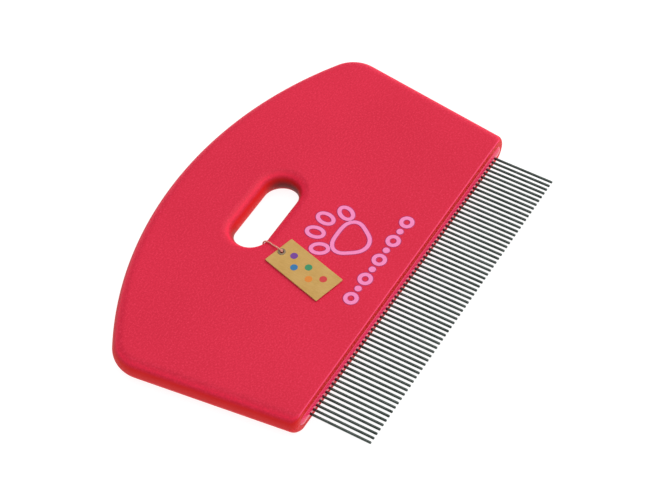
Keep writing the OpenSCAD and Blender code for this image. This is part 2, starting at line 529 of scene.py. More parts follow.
@dataclass(frozen=True)
class DrawnSteel:
    """Drawn steel wire: fine lines along the wire, and a little darker where it enters the moulding, with
    painted shade and a painted red reflection there.
    """

    name: str
    bright: Colour
    dull: Colour
    # Painted shade and red reflection near the pins' roots.
    root_shade_and_reflection: Colour
    lines: Grain = Grain(16000.0, 3.0, 0.6, (1.0, 0.02, 1.0))
    patches: Grain = Grain(420.0)
    root_y: Span = (-0.0234, -0.0222)
    root_share: float = 0.75
    line_share: float = 0.5
    line_noise: Span = (0.4, 0.75)
    polish: Span = (0.24, 0.38)
    relief: Span = (0.00001, 0.25)

    def make(self) -> bpy.types.Material:
        """Returns the material."""
        bench = NodeBench(self.name)
        lines = bench.noise(self.lines)
        steel = bench.blend(bench.spread(bench.noise(self.patches)), self.bright, self.dull)
        scored = bench.blend(bench.spread(lines, (0.0, self.line_share), self.line_noise), steel, self.dull)
        # Painted shade and red reflection: dark maroon near the pins' roots.
        root = bench.spread(bench.along("Y"), (0.0, self.root_share), self.root_y)
        bench.colour(bench.blend(root, scored, self.root_shade_and_reflection))
        bench.roughness(bench.spread(lines, self.polish))
        bench.bump(lines, *self.relief)
        bench.fixed(Metallic=1.0)
        return bench.material


@dataclass(frozen=True)
class ScreenInk:
    """Thin opaque print, with the ground just showing through pinholes."""

    name: str
    body: Colour
    thin: Colour
    mottle: Grain = Grain(1500.0, 3.0, 0.6)
    pinholes: Grain = Grain(6500.0, 2.0)
    mottle_share: float = 0.35
    pinhole_share: float = 0.45
    pinhole_noise: Span = (0.62, 0.74)
    polish: Span = (0.36, 0.5)
    relief: Span = (0.00002, 0.15)

    def make(self) -> bpy.types.Material:
        """Returns the material."""
        bench = NodeBench(self.name)
        mottle = bench.noise(self.mottle)
        tone = bench.blend(bench.spread(mottle, (0.0, self.mottle_share)), self.body, self.thin)
        holes = bench.spread(bench.noise(self.pinholes), (0.0, self.pinhole_share), self.pinhole_noise)
        bench.colour(bench.blend(holes, tone, self.thin))
        bench.roughness(bench.spread(mottle, self.polish))
        bench.bump(mottle, *self.relief)
        bench.fixed(Specular_IOR_Level=0.35)
        return bench.material


@dataclass(frozen=True)
class KraftCard:
    """Brown card: long fibres, flecks, and paler cut edges."""

    name: str
    body: Colour
    fibre: Colour
    edge: Colour
    fibres: Grain = Grain(5200.0, 4.0, 0.65, (1.0, 0.16, 1.0), 0.26)
    flecks: Grain = Grain(2600.0, 2.0)
    clouds: Grain = Grain(240.0)
    fibre_share: float = 0.6
    cloud_share: float = 0.35
    fleck_share: float = 0.5
    fleck_noise: Span = (0.66, 0.78)
    cut_shares: Span = (0.8, 0.0)
    cut_tilts: Span = (0.2, 0.8)
    polish: Span = (0.78, 0.92)
    relief: Span = (0.00003, 0.35)

    def make(self) -> bpy.types.Material:
        """Returns the material."""
        bench = NodeBench(self.name)
        fibres = bench.noise(self.fibres)
        pulp = bench.blend(bench.spread(fibres, (0.0, self.fibre_share)), self.body, self.fibre)
        clouds = bench.spread(bench.noise(self.clouds), (0.0, self.cloud_share))
        mottled = bench.blend(clouds, pulp, self.edge)
        flecks = bench.spread(bench.noise(self.flecks), (0.0, self.fleck_share), self.fleck_noise)
        flecked = bench.blend(flecks, mottled, self.fibre)
        cut = bench.spread(bench.upward(), self.cut_shares, self.cut_tilts)
        bench.colour(bench.blend(cut, flecked, self.edge))
        bench.roughness(bench.spread(fibres, self.polish))
        bench.bump(fibres, *self.relief)
        bench.fixed(Specular_IOR_Level=0.2, Sheen_Weight=0.1, Sheen_Roughness=0.5)
        return bench.material


@dataclass(frozen=True)
class TarnishedMetal:
    """Pressed metal with brown tarnish in its hollows."""

    name: str
    bright: Colour
    tarnish: Colour
    bloom: Grain = Grain(2800.0, 3.0, 0.6)
    bloom_shares: Span = (0.1, 0.95)
    polish: Span = (0.3, 0.5)
    relief: Span = (0.00002, 0.2)

    def make(self) -> bpy.types.Material:
        """Returns the material."""
        bench = NodeBench(self.name)
        bloom = bench.noise(self.bloom)
        bench.colour(bench.blend(bench.spread(bloom, self.bloom_shares), self.bright, self.tarnish))
        bench.roughness(bench.spread(bloom, self.polish))
        bench.bump(bloom, *self.relief)
        bench.fixed(Metallic=1.0)
        return bench.material


@dataclass(frozen=True)
class TwistedThread:
    """Dyed thread: fine slanting fibres and a soft sheen."""

    name: str
    body: Colour
    shade: Colour
    fibres: Grain = Grain(16000.0, 3.0, 0.6, (1.0, 0.3, 1.0), 0.6)
    fibre_share: float = 0.8
    polish: Span = (0.65, 0.85)
    relief: Span = (0.00003, 0.4)

    def make(self) -> bpy.types.Material:
        """Returns the material."""
        bench = NodeBench(self.name)
        fibres = bench.noise(self.fibres)
        bench.colour(bench.blend(bench.spread(fibres, (0.0, self.fibre_share)), self.body, self.shade))
        bench.roughness(bench.spread(fibres, self.polish))
        bench.bump(fibres, *self.relief)
        bench.fixed(Sheen_Weight=0.3, Sheen_Roughness=0.5, Specular_IOR_Level=0.25)
        return bench.material


RED = SoftTouchPlastic(
    "soft_touch_red",
    body=(0.725, 0.0095, 0.049),
    shade=(0.62, 0.004, 0.034),
    rubbed=(0.82, 0.032, 0.088),
    # Painted shade on upright walls.
    painted_wall_shade=(0.72, 0.001, 0.0035),
    # Painted highlight on the shoulders of the edges.
    rim=(0.96, 0.016, 0.066),
    # Painted highlight on the front lip.
    painted_lip_highlight=(0.90, 0.055, 0.16),
    # Painted shadow at the slot's ends.
    painted_slot_shadow=(0.06, 0.0005, 0.001),
)
PINK = GlossPlastic("gloss_pink", (0.92, 0.028, 0.125), (0.85, 0.022, 0.10))
# The third colour is painted shade and red reflection at the pins' roots.
STEEL = DrawnSteel("drawn_steel", (0.12, 0.14, 0.13), (0.055, 0.07, 0.062), (0.07, 0.008, 0.018))
INK = ScreenInk("pink_ink", (0.93, 0.27, 0.55), (0.86, 0.16, 0.36))
INK_RIM = ScreenInk("plum_ink", (0.40, 0.012, 0.12), (0.52, 0.016, 0.10))
KRAFT = KraftCard("kraft_card", (0.60, 0.36, 0.105), (0.44, 0.25, 0.065), (0.70, 0.46, 0.18))
EYELET = TarnishedMetal("tarnished_eyelet", (0.42, 0.33, 0.22), (0.16, 0.11, 0.075))
SPOT_INKS = (
    ScreenInk("spot_violet", (0.16, 0.035, 0.30), (0.24, 0.08, 0.30)),
    ScreenInk("spot_blue", (0.02, 0.16, 0.40), (0.05, 0.22, 0.36)),
    ScreenInk("spot_green", (0.03, 0.26, 0.12), (0.08, 0.28, 0.12)),
    ScreenInk("spot_orange", (0.75, 0.22, 0.02), (0.66, 0.26, 0.05)),
    ScreenInk("spot_red", (0.62, 0.03, 0.04), (0.58, 0.09, 0.06)),
)
THREAD = TwistedThread("salmon_thread", (0.86, 0.40, 0.30), (0.68, 0.24, 0.17))


# --- Handle ---


@dataclass(frozen=True)
class Station:
    """One stop round the handle's outline."""

    point: Point2
    inward: Point2
    front: bool


@dataclass(frozen=True)
class HandlePlan:
    """The handle's outline seen from above, and the sections of its edges."""

    front_width: float = 90.8
    flare_deg: float = 7.4
    depth: float = 59.5
    back_radius: float = 86.0
    corner_radius: float = 8.2
    edge_radius: float = 3.0
    front_corner_radius: float = 1.6
    lip_setback: float = 0.4
    lip_round: float = 0.32
    seam: float = 0.06
    slot_length: float = 20.3
    slot_width: float = 8.0
    slot_y: float = 36.1
    slot_flare: float = 3.05
    hairline: float = 0.03
    rings: int = 20
    front_steps: int = 24
    front_corner_steps: int = 12
    side_steps: int = 16
    back_corner_steps: int = 26
    back_steps: int = 48
    slot_end_steps: int = 24

    @property
    def flare(self) -> float:
        """The side's slope in radians."""
        return math.radians(self.flare_deg)

    @property
    def side_direction(self) -> Vector:
        """The direction of the right-hand side, going back."""
        return Vector((math.sin(self.flare), math.cos(self.flare)))

    @property
    def side_normal(self) -> Vector:
        """The outward direction of the right-hand side."""
        return Vector((math.cos(self.flare), -math.sin(self.flare)))

    @property
    def arc_centre(self) -> Vector:
        """The centre of the back arc."""
        return Vector((0.0, self.depth - self.back_radius))

    @property
    def slot_end_x(self) -> float:
        """Half the length of the slot's straight part."""
        return (self.slot_length - self.slot_width) / 2

    def back_corner(self) -> tuple[Vector, float]:
        """Returns the right back corner's centre, and the ray at which it meets the back arc."""
        on_line = Vector((self.front_width / 2, 0.0)) - self.corner_radius * self.side_normal
        from_arc = on_line - self.arc_centre
        along = from_arc.dot(self.side_direction)
        reach = self.back_radius - self.corner_radius
        travel = math.sqrt(along * along - from_arc.length_squared + reach * reach) - along
        centre = on_line + self.side_direction * travel
        ray = centre - self.arc_centre
        return centre, math.atan2(ray.y, ray.x)

    def stations(self, side_inset: float = 0.0, front_inset: float = 0.0) -> list[Station]:
        """Returns the outline's stops, anticlockwise from the middle of the front edge.

        Args:
            side_inset: How far inside the nominal outline the sides and back lie.
            front_inset: How far behind the front lip the front lies.
        """
        inset = side_inset + self.hairline
        half: list[Station] = []
        front_y = self.lip_setback + self.hairline + front_inset
        radius = self.front_corner_radius
        corner_y = front_y + radius
        side_start = Vector((self.front_width / 2, 0.0)) - (inset + radius) * self.side_normal
        corner = side_start + self.side_direction * ((corner_y - side_start.y) / self.side_direction.y)
        for i in range(self.front_steps):
            half.append(Station((corner.x * i / self.front_steps, front_y), (0.0, 1.0), True))
        for x, y in arc((corner.x, corner.y), radius, -QUARTER_TURN, -self.flare, self.front_corner_steps):
            half.append(Station((x, y), ((corner.x - x) / radius, (corner.y - y) / radius), True))
        back, ray = self.back_corner()
        out = self.side_normal
        start, end = corner + radius * out, back + (self.corner_radius - inset) * out
        for i in range(1, self.side_steps):
            spot = start.lerp(end, i / self.side_steps)
            half.append(Station((spot.x, spot.y), (-out.x, -out.y), False))
        half += self._round(back, self.corner_radius - inset, -self.flare, ray, self.back_corner_steps)
        back_arc = self._round(self.arc_centre, self.back_radius - inset, ray, QUARTER_TURN, self.back_steps)
        half += back_arc[1:-1]
        top = Station((0.0, self.depth - inset), (0.0, -1.0), False)
        mirrored = [
            Station((-stop.point[0], stop.point[1]), (-stop.inward[0], stop.inward[1]), stop.front)
            for stop in reversed(half[1:])
        ]
        return half + [top] + mirrored

    @staticmethod
    def _round(centre: Vector, radius: float, start: float, end: float, steps: int) -> list[Station]:
        """Returns the stops along a round stretch of the side or back."""
        spots = arc((centre.x, centre.y), radius, start, end, steps)
        return [
            Station((x, y), ((centre.x - x) / radius, (centre.y - y) / radius), False) for x, y in spots
        ]

    def ring_height(self, step: int) -> float:
        """Returns the height of one ring of the section, closer together towards the top."""
        return self.edge_radius * math.sin(QUARTER_TURN * step / self.rings)

    def round_inset(self, height: float) -> float:
        """Returns how far in the round side and back edges lie at a height."""
        return self.edge_radius - math.sqrt(max(0.0, self.edge_radius**2 - height**2))

    def lip_inset(self, height: float) -> float:
        """Returns how far back the front lip lies at a height."""
        above = max(0.0, height - (self.edge_radius - self.lip_round))
        return self.lip_round - math.sqrt(max(0.0, self.lip_round**2 - above**2))

    def edge_ring(self, height: float, further: float = 0.0) -> list[Point3]:
        """Returns one ring of the shell's outside.

        Args:
            height: The ring's height above the middle plane.
            further: How much further in than the edge it lies.
        """
        stops = self.stations(self.round_inset(height) + further, self.lip_inset(height) + further)
        return [(*stop.point, height) for stop in stops]

    def slot_ring(self, half_width: float, height: float) -> list[Point3]:
        """Returns one ring of the finger slot's wall.

        Args:
            half_width: Half the slot's width at this height.
            height: The ring's height above the middle plane.
        """
        end_x, y, steps = self.slot_end_x, self.slot_y, self.slot_end_steps
        right = arc((end_x, y), half_width, -QUARTER_TURN, QUARTER_TURN, steps)
        left = arc((-end_x, y), half_width, QUARTER_TURN, 3 * QUARTER_TURN, steps)
        return [(x, y, height) for x, y in right + left]

    def slot_half_width(self, height: float) -> float:
        """Returns half the slot's width at a height above the middle plane."""
        return self.slot_width / 2 + self.slot_flare - math.sqrt(self.slot_flare**2 - height**2)


@dataclass
class HandleShells:
    """The two red shells: one mirrored form round the core, with a finger slot through both."""

    plan: HandlePlan
    drafting: Drafting
    finish: SoftTouchPlastic = RED
    guard: float = 0.35
    nose_radius: float = 2.0
    nose_length: float = 88.0
    pocket_gap: float = 0.05
    core_half: float = 1.2
    core_margin: float = 4.0
    nose_reach: float = 3.0
    nose_end_steps: int = 12
    nose_sides: int = 40
    smallest_radius: float = 1e-3
    on_axis: float = 1e-6

    def upper_form(self) -> ClosedMesh:
        """Returns the upper shell as a closed mesh without its pocket."""
        plan, form = self.plan, ClosedMesh()
        heights = [plan.ring_height(step) for step in range(plan.rings + 1)]
        rings = [form.add_loop(plan.edge_ring(0.0, plan.seam)), form.add_loop(plan.edge_ring(plan.seam))]
        rings += [form.add_loop(plan.edge_ring(height)) for height in heights[1:]]
        guard_ring = form.add_loop(plan.edge_ring(plan.edge_radius, self.guard))
        form.skin([*rings, guard_ring])
        slot = [form.add_loop(plan.slot_ring(plan.slot_half_width(height), height)) for height in heights]
        rim = plan.slot_half_width(plan.edge_radius) + self.guard
        slot.append(form.add_loop(plan.slot_ring(rim, plan.edge_radius)))
        for lower, upper in zip(slot, slot[1:]):
            form.bridge(upper, lower)
        form.fill_between(guard_ring, slot[-1], up=True)
        form.fill_between(rings[0], slot[0], up=False)
        return form

    def _nose_cutter(self) -> bpy.types.Object:
        """Returns the round-ended bar that clears the core's nose."""
        radius = self.nose_radius + self.pocket_gap
        half = self.nose_length / 2 - self.nose_radius
        bar, back = ClosedMesh(), self.nose_reach + self.pocket_gap
        end = arc((-half, 0.0), radius, 2 * QUARTER_TURN, QUARTER_TURN, self.nose_end_steps)
        spine = [(x, max(r, self.smallest_radius)) for x, r in end + [(-x, r) for x, r in reversed(end)]]
        loops = [
            bar.add_loop(
                (x, self.nose_radius + y + (back if y > self.on_axis else 0.0), z)
                for y, z in circle((0.0, 0.0), r, self.nose_sides)
            )
            for x, r in spine
        ]
        bar.skin_and_cap(loops)
        return bar.to_object("nose_pocket", self.drafting, Shading.CREASED)

    def _plate_cutter(self) -> bpy.types.Object:
        """Returns the flat shape that clears the core's plate round the slot."""
        plan, plate = self.plan, ClosedMesh()
        half = self.core_half + self.pocket_gap
        inset = self.core_margin - self.pocket_gap
        stops = [stop for stop in plan.stations() if not stop.front]
        outer_flat = [(s.point[0] + s.inward[0] * inset, s.point[1] + s.inward[1] * inset) for s in stops]
        around_slot = plan.slot_width / 2 + inset
        loops = []
        for height in (-half, half):
            outer = plate.add_loop((x, y, height) for x, y in outer_flat)
            hole = plate.add_loop(plan.slot_ring(around_slot, height))
            loops.append((outer, hole))
        (low_outer, low_hole), (high_outer, high_hole) = loops
        plate.bridge(low_outer, high_outer)
        plate.bridge(high_hole, low_hole)
        plate.fill_between(low_outer, low_hole, up=False)
        plate.fill_between(high_outer, high_hole, up=True)
        return plate.to_object("plate_pocket", self.drafting, Shading.CREASED)

    def build(self) -> list[bpy.types.Object]:
        """Makes both shells and puts them in place of the plain ones."""
        upper = self.upper_form()
        skin = self.finish.make()
        pieces: list[bpy.types.Object] = []
        for half, node in ((Half.UPPER, "grip_top"), (Half.LOWER, "grip_bottom")):
            form = upper if half is Half.UPPER else upper.mirrored()
            shell = form.to_object(f"{node}_shell", self.drafting, Shading.CREASED)
            cut_away(shell, [self._nose_cutter(), self._plate_cutter()])
            smooth_faces(shell, Shading.CREASED)
            place_piece(shell, skin, Body.COMB, "grip_red", node)
            pieces.append(shell)
        return pieces


# --- Core and pins ---


@dataclass
class CoreMoulding:
    """The pink core between the shells, whose nose shows along the front edge."""

    finish: GlossPlastic = PINK

    def build(self) -> list[bpy.types.Object]:
        """Dresses the core, which keeps its own form."""
        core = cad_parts["core"]
        dress(core, self.finish.make())
        return [core]


@dataclass
class PinRow:
    """The row of drawn steel pins, each with a ground, rounded tip."""

    drafting: Drafting
    finish: DrawnSteel = STEEL
    count: int = 65
    pitch: float = 1.25
    radius: float = 0.3
    reach: float = 14.7
    hold: float = 8.0
    tip: float = 0.2
    tip_flat: float = 0.02
    tip_steps: int = 5
    sides: int = 20

    def profile(self) -> list[Point2]:
        """Returns the pin's half section as distance along it and radius, from tip to root."""
        ground = [
            (-self.reach + self.tip * (1 - math.cos(turn)), self.radius - self.tip * (1 - math.sin(turn)))
            for turn in (QUARTER_TURN * i / self.tip_steps for i in range(self.tip_steps + 1))
        ]
        shank = [(along, self.radius) for along in (-self.reach / 2, 0.0, self.hold)]
        return [(-self.reach, self.tip_flat), *ground, *shank]

    def one_pin(self, x: float) -> ClosedMesh:
        """Returns one pin at a place along the row.

        Args:
            x: The pin's place along the front edge.
        """
        pin = ClosedMesh()
        loops = []
        for along, radius in self.profile():
            turns = (FULL_TURN * k / self.sides for k in range(self.sides))
            loops.append(
                pin.add_loop((x + radius * math.sin(turn), along, radius * math.cos(turn)) for turn in turns)
            )
        pin.skin_and_cap(loops)
        return pin

    def build(self) -> list[bpy.types.Object]:
        """Makes the whole row as one piece."""
        row = ClosedMesh()
        for i in range(self.count):
            row.join(self.one_pin((i - (self.count - 1) / 2) * self.pitch))
        pins = row.to_object("steel_pins", self.drafting, Shading.CREASED)
        place_piece(pins, self.finish.make(), Body.COMB, "pin_steel", "pins")
        return [pins]


# --- Printed motif ---


@dataclass(frozen=True)
class InkLayer:
    """One pass of ink: how thick it lies, and how far it spreads past the drawn line."""

    height: float
    spread: float


@dataclass
class PawMotif:
    """A plain paw in drawn lines, with a row of rings and dots in front of it."""

    drafting: Drafting
    top: float = 3.0
    finish: ScreenInk = INK
    rim_finish: ScreenInk = INK_RIM
    ink: InkLayer = InkLayer(0.04, 0.0)
    rim: InkLayer = InkLayer(0.02, 0.17)
    soft: float = 0.03
    stroke: float = 0.95
    paw: Point2 = (2.0, 14.9)
    pad_rise: float = 0.2
    pad_half: Point2 = (4.5, 3.8)
    pad_lobes: float = 0.1
    outer_toe: Point2 = (5.7, 4.9)
    outer_toe_half: Point2 = (1.3, 1.9)
    outer_toe_turn: float = -0.45
    inner_toe: Point2 = (2.2, 8.1)
    inner_toe_half: Point2 = (1.3, 1.95)
    inner_toe_turn: float = -0.12
    row_y: float = 6.8
    row_pitch: float = 6.0
    ring_half: Point2 = (1.22, 1.22)
    dot_radius: float = 0.8
    line_steps: int = 72
    dot_steps: int = 28

    def blob(self, centre: Point2, half_size: Point2, turn: float, lobes: float = 0.0) -> list[Point2]:
        """Returns a closed rounded line.

        Args:
            centre: Its middle.
            half_size: Half its width and half its height.
            turn: Its turn, in radians.
            lobes: How far three soft lobes stand out, as a share of its size.
        """
        line: list[Point2] = []
        for i in range(self.line_steps):
            turn_here = FULL_TURN * i / self.line_steps
            swell = 1 + lobes * math.cos(3 * (turn_here + QUARTER_TURN))
            wide = half_size[0] * swell * math.cos(turn_here)
            tall = half_size[1] * swell * math.sin(turn_here)
            x = wide * math.cos(turn) - tall * math.sin(turn)
            y = wide * math.sin(turn) + tall * math.cos(turn)
            line.append((centre[0] + x, centre[1] + y))
        return line

    def closed_stroke(self, line: Sequence[Point2], layer: InkLayer) -> ClosedMesh:
        """Returns a flat ribbon of ink along a closed line.

        Args:
            line: The ribbon's middle, anticlockwise.
            layer: How thick the ink lies and how far it spreads.
        """
        reach, soft = self.stroke / 2 + layer.spread, self.soft
        section = ((reach, 0.0), (reach - soft, layer.height), (soft - reach, layer.height), (-reach, 0.0))
        ink = ClosedMesh()
        loops = [
            ink.add_loop((x, y, self.top + up) for x, y in self._offset(line, off)) for off, up in section
        ]
        ink.skin(loops, around=True)
        return ink

    @staticmethod
    def _offset(line: Sequence[Point2], distance: float) -> list[Point2]:
        """Returns a closed anticlockwise line moved outwards by a distance."""
        count, moved = len(line), []
        for i in range(count):
            before, after = line[i - 1], line[(i + 1) % count]
            run = Vector((after[0] - before[0], after[1] - before[1])).normalized()
            moved.append((line[i][0] + run.y * distance, line[i][1] - run.x * distance))
        return moved

    def dot(self, centre: Point2, radius: float, layer: InkLayer) -> ClosedMesh:
        """Returns one round dot of ink.

        Args:
            centre: Its middle.
            radius: Its radius.
            layer: How thick the ink lies and how far it spreads.
        """
        ink, reach = ClosedMesh(), radius + layer.spread
        loops = [
            ink.add_loop((x, y, self.top + up) for x, y in circle(centre, r, self.dot_steps))
            for r, up in ((reach, 0.0), (reach - self.soft, layer.height))
        ]
        ink.skin_and_cap(loops)
        return ink

    def art(self, layer: InkLayer) -> ClosedMesh:
        """Returns the whole print in one layer of ink."""
        x, y = self.paw
        art = self.closed_stroke(self.blob((x, y + self.pad_rise), self.pad_half, 0.0, self.pad_lobes), layer)
        toes = (
            (self.outer_toe, self.outer_toe_half, self.outer_toe_turn),
            (self.inner_toe, self.inner_toe_half, self.inner_toe_turn),
        )
        for side in (-1, 1):
            for (out, ahead), half, turn in toes:
                toe = self.blob((x + out * side, y + ahead), half, turn * side)
                art.join(self.closed_stroke(toe, layer))
        for place in (-2, -1, 0, 1, 2):
            ring = self.blob((self.row_pitch * place, self.row_y), self.ring_half, 0.0)
            art.join(self.closed_stroke(ring, layer))
        for place in (-1.5, -0.5, 0.5, 1.5):
            art.join(self.dot((self.row_pitch * place, self.row_y), self.dot_radius, layer))
        return art

    def build(self) -> list[bpy.types.Object]:
        """Makes the plum rim and the pink print over it."""
        rim = self.art(self.rim).to_object("paw_print_rim", self.drafting, Shading.CREASED)
        place_piece(rim, self.rim_finish.make(), Body.COMB, "motif_ink")
        motif = self.art(self.ink).to_object("paw_print_ink", self.drafting, Shading.CREASED)
        place_piece(motif, self.finish.make(), Body.COMB, "motif_ink", "printed_motif")
        return [rim, motif]


# --- Swing tag ---


@dataclass
class SwingTag:
    """The spotted card tag on its short twisted string, with an eyelet and a knot."""

    plan: HandlePlan
    drafting: Drafting
    width: float = 8.0
    length: float = 16.2
    turn_deg: float = -15.0
    string_radius: float = 0.2
    string_gap: float = 0.3
    card_start: float = 5.3
    card_thickness: float = 0.3
    card_lift: float = 0.15
    eyelet_out: float = 6.4
    eyelet_radius: float = 0.6
    eyelet_wall: float = 0.25
    flange: float = 0.3
    rivet: float = 0.12
    corner: float = 0.25
    knot_radius: float = 0.38
    knot_lift: float = 0.22
    knot_inset: float = 0.13
    knot_mean: float = 0.62
    knot_swing: float = 0.3
    knot_wave: float = 0.16
    knot_strand: float = 0.12
    knot_steps: int = 90
    card_soft: float = 0.05
    hole_gap: float = 0.01
    card_corner_steps: int = 5
    hole_steps: int = 32
    eyelet_steps: int = 36
    rise_steps: int = 18
    run_steps: int = 8
    twist_steps: int = 4
    twist_per_mm: float = 1.15
    strand_offset: float = 0.46
    strand_share: float = 0.52
    strand_sides: int = 8
    strand_guide: Point3 = (1.0, 0.3, 0.0)
    spot_steps: int = 28
    spot_start: float = 0.24
    spot_soft: float = 0.02
    spot_radius: float = 0.85
    spot_pitch: float = 2.3
    spot_sway: float = 1.1
    spot_height: float = 0.02

    @property
    def card_top(self) -> float:
        """The height of the card's face."""
        return self.card_z + self.card_thickness

    @property
    def card_z(self) -> float:
        """The height of the card's underside."""
        return self.plan.edge_radius + self.card_lift

    @property
    def knot_z(self) -> float:
        """The height of the knot's middle."""
        return self.card_top + self.rivet + self.knot_lift

    @property
    def pivot(self) -> Point2:
        """The place where the string stands up in the slot."""
        hang = self.plan.slot_width / 2 - self.string_gap
        turn = math.radians(self.turn_deg)
        return -self.plan.slot_end_x + hang * math.sin(turn), self.plan.slot_y - hang * math.cos(turn)

    def at_tag(self, across: float, out: float, height: float) -> Point3:
        """Returns a point of the tag in drawing coordinates.

        Args:
            across: Distance across the tag.
            out: Distance from the pivot along the tag.
            height: Height above the middle plane.
        """
        turn = math.radians(self.turn_deg)
        x, y = self.pivot
        return (
            x + across * math.cos(turn) + out * math.sin(turn),
            y + across * math.sin(turn) - out * math.cos(turn),
            height,
        )

    def add_level(self, mesh: ClosedMesh, line: Iterable[Point2], height: float) -> list[int]:
        """Adds a level loop, drawn as across and out, to a mesh and returns its indices."""
        return mesh.add_loop(self.at_tag(across, out, height) for across, out in line)

    def card_outline(self, inset: float) -> list[Point2]:
        """Returns the card's outline with slightly rounded corners, as across and out."""
        half, radius = self.width / 2 - inset, self.corner
        near, far = self.card_start + inset, self.card_start + self.length - inset
        line: list[Point2] = []
        for cx, cy, start in (
            (half - radius, near + radius, 3 * QUARTER_TURN),
            (half - radius, far - radius, 0.0),
            (-half + radius, far - radius, QUARTER_TURN),
            (-half + radius, near + radius, 2 * QUARTER_TURN),
        ):
            line += arc((cx, cy), radius, start, start + QUARTER_TURN, self.card_corner_steps)
        return line

    def card(self) -> bpy.types.Object:
        """Returns the card with its hole and softened edges."""
        card, soft = ClosedMesh(), self.card_soft
        low, high = self.card_z, self.card_top
        levels = ((soft, low), (0.0, low + soft), (0.0, high - soft), (soft, high))
        outer = [self.add_level(card, self.card_outline(inset), height) for inset, height in levels]
        round_hole = circle((0, self.eyelet_out), self.eyelet_radius + self.hole_gap, self.hole_steps)
        hole = [self.add_level(card, round_hole, height) for height in (low, high)]
        card.skin(outer)
        card.bridge(hole[1], hole[0])
        card.fill_between(outer[-1], hole[1], up=True)
        card.fill_between(outer[0], hole[0], up=False)
        piece = card.to_object("kraft_card", self.drafting, Shading.CREASED)
        place_piece(piece, KRAFT.make(), Body.TAG, "card_kraft", "tag_card")
        return piece

    def eyelet(self) -> bpy.types.Object:
        """Returns the pressed eyelet: a barrel with a rolled flange."""
        ring = ClosedMesh()
        barrel = self.eyelet_radius
        bore, edge = barrel - self.eyelet_wall, barrel + self.flange
        low, face = self.card_z, self.card_top
        crown = face + self.rivet
        section = [(bore + 0.03, low), (barrel, low), (barrel, face), (edge, face), (edge, face + 0.03),
                   (edge - 0.06, crown - 0.02), (edge - 0.14, crown), (bore + 0.14, crown),
                   (bore + 0.04, crown - 0.04), (bore, face)]
        loops = [
            self.add_level(ring, circle((0, self.eyelet_out), radius, self.eyelet_steps), height)
            for radius, height in section
        ]
        ring.skin(loops, around=True)
        piece = ring.to_object("pressed_eyelet", self.drafting, Shading.CREASED)
        place_piece(piece, EYELET.make(), Body.TAG, "eyelet_brass", "tag_eyelet")
        return piece

    def route(self) -> list[Point2]:
        """Returns the string's centreline as distance out and height, from the slot up to the knot."""
        bend = self.plan.edge_radius + self.string_gap
        rise = arc((bend, 0.0), bend, 2 * QUARTER_TURN, QUARTER_TURN, self.rise_steps)
        hump = [(self.card_start - 0.2, self.knot_z - 0.04), (self.eyelet_out, self.knot_z)]
        start, line = rise[-1], list(rise)
        for end in hump:
            for i in range(1, self.run_steps + 1):
                share = i / self.run_steps
                rise_here = (end[1] - start[1]) * ease(share)
                line.append((start[0] + (end[0] - start[0]) * share, start[1] + rise_here))
            start = end
        return line

    def strand(self, line: Sequence[Point3], radius: float) -> ClosedMesh:
        """Returns a round closed strand along a line.

        Args:
            line: Points along its middle.
            radius: Its radius.
        """
        tube, loops = ClosedMesh(), []
        guide = Vector(self.strand_guide).normalized()
        for i, here in enumerate(line):
            ahead, behind = Vector(line[min(i + 1, len(line) - 1)]), Vector(line[max(i - 1, 0)])
            run = (ahead - behind).normalized()
            side = (guide - run * guide.dot(run)).normalized()
            up = run.cross(side)
            guide = side
            loops.append(tube.add_loop(
                Vector(here) + radius * (side * math.cos(t) + up * math.sin(t))
                for t in (FULL_TURN * k / self.strand_sides for k in range(self.strand_sides))
            ))
        tube.skin_and_cap(loops)
        return tube

    def twisted(self, line: Sequence[Point2]) -> ClosedMesh:
        """Returns two strands twisted round a line drawn as distance out and height."""
        thread, offset = ClosedMesh(), self.string_radius * self.strand_offset
        fine: list[Point2] = []
        for start, end in zip(line, line[1:]):
            shares = [i / self.twist_steps for i in range(self.twist_steps)]
            fine += [(start[0] + (end[0] - start[0]) * t, start[1] + (end[1] - start[1]) * t) for t in shares]
        fine.append(line[-1])
        for phase in (0.0, math.pi):
            travelled, points = 0.0, []
            for i, (out, height) in enumerate(fine):
                before, after = fine[max(i - 1, 0)], fine[min(i + 1, len(fine) - 1)]
                run = Vector((after[0] - before[0], after[1] - before[1])).normalized()
                if i:
                    travelled += math.hypot(out - fine[i - 1][0], height - fine[i - 1][1])
                turn = phase + FULL_TURN * self.twist_per_mm * travelled
                across, off = offset * math.cos(turn), offset * math.sin(turn)
                points.append(self.at_tag(across, out - run.y * off, height + run.x * off))
            thread.join(self.strand(points, self.string_radius * self.strand_share))
        return thread

    def knot(self) -> ClosedMesh:
        """Returns a small tight knot resting in the eyelet."""
        points: list[Point3] = []
        for i in range(self.knot_steps + 1):
            turn = FULL_TURN * i / self.knot_steps
            swell = (self.knot_mean + self.knot_swing * math.cos(3 * turn)) / (self.knot_mean + self.knot_swing)
            reach = (self.knot_radius - self.knot_inset) * swell
            across, out = reach * math.cos(2 * turn), self.eyelet_out + reach * math.sin(2 * turn)
            points.append(self.at_tag(across, out, self.knot_z + self.knot_wave * math.sin(3 * turn)))
        return self.strand(points, self.knot_strand)

